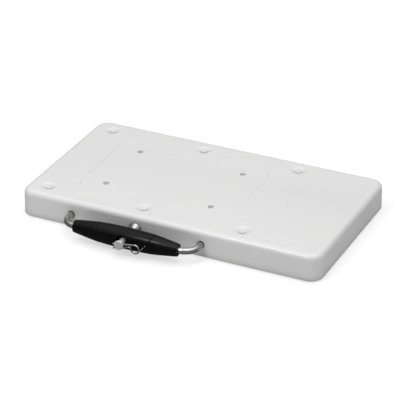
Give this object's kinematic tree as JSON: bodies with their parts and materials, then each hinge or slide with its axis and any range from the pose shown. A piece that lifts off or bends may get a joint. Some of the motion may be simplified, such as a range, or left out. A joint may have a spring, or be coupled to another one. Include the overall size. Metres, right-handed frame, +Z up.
{
  "type": "security gate floor base",
  "caption": "Flat ballasted floor base for a portable security gate, with a sunk bolt-on pad, capped screws and a pull-out carry handle with a push-rod latch and a hairpin clip.",
  "frame": {"origin": "on the floor plane, on the underside of the non-slip mat, under the middle of the case", "axes": "+X along the long side, away from the end that carries the handle and the pad; -Y towards the handle; +Z up"},
  "size_m": [0.501, 0.3301, 0.0443],
  "materials": {
    "case_plastic": "smooth moulded white plastic, high gloss",
    "cap_plastic": "smooth moulded white plastic",
    "grip_plastic": "black moulded plastic, satin with a fine grain",
    "bright_steel": "polished stainless steel rod and wire",
    "rod_steel": "turned stainless steel, faint lathe lines on the head",
    "plated_steel": "zinc plated steel",
    "fastener_steel": "zinc plated fasteners",
    "plate_steel": "powder coated sheet steel, dark grey",
    "ballast_iron": "painted ballast block",
    "bar_aluminium": "milled aluminium bar",
    "bush_brass": "brass threaded bushes",
    "guide_nylon": "natural nylon",
    "mat_rubber": "black rubber"
  },
  "bodies": {
    "case": {"non_slip_mat": "mat_rubber", "base_plate": "plate_steel", "top_cover": "case_plastic", "cover_bushes": "bush_brass", "centre_bridge": "plate_steel", "bridge_screws": "fastener_steel", "cover_screws": "fastener_steel", "middle_cover_screw": "fastener_steel", "screw_caps": "cap_plastic", "pedestal_pillars": "plated_steel", "pedestal_strap_left": "plate_steel", "pedestal_strap_right": "plate_steel", "ballast_left": "ballast_iron", "ballast_right": "ballast_iron", "ballast_screws": "fastener_steel", "guide_left": "guide_nylon", "guide_right": "guide_nylon", "guide_screws": "fastener_steel", "guide_buffers": "mat_rubber", "rear_stops": "mat_rubber", "ferrule": "bright_steel", "ferrule_nut": "fastener_steel", "catch_bar": "plate_steel"},
    "handle": {"handle_arm_left": "bright_steel", "handle_arm_right": "bright_steel", "grip_centre": "grip_plastic", "grip_sleeve_left": "grip_plastic", "grip_sleeve_right": "grip_plastic", "arm_pins": "fastener_steel", "crossbar": "bar_aluminium", "crossbar_washers": "fastener_steel", "crossbar_nuts": "fastener_steel", "spring_cap": "plate_steel", "spring_cap_screws": "fastener_steel", "latch_spring": "fastener_steel"},
    "release_rod": {"release_rod": "rod_steel", "rod_retaining_ring": "fastener_steel"},
    "latch": {"latch_bolt": "plated_steel"},
    "clip": {"hairpin_clip": "bright_steel"}
  },
  "joints": [
    {"name": "handle_slide", "type": "slide", "parent": "case", "child": "handle", "axis": [0, -1, 0], "range_m": [0, 0.08]},
    {"name": "rod_push", "type": "slide", "parent": "handle", "child": "release_rod", "axis": [0, 1, 0], "range_m": [0, 0.0025]},
    {"name": "latch_lift", "type": "slide", "parent": "handle", "child": "latch", "axis": [0, 0, 1], "range_m": [0, 0.0025], "deforming": ["latch_spring"]},
    {"name": "clip_pull", "type": "slide", "parent": "release_rod", "child": "clip", "axis": [0.9877, 0, 0.1564], "range_m": [0, 0.05]}
  ],
  "couplings": [
    {"joint": "latch_lift", "follows": "rod_push", "ratio": 1}
  ]
}
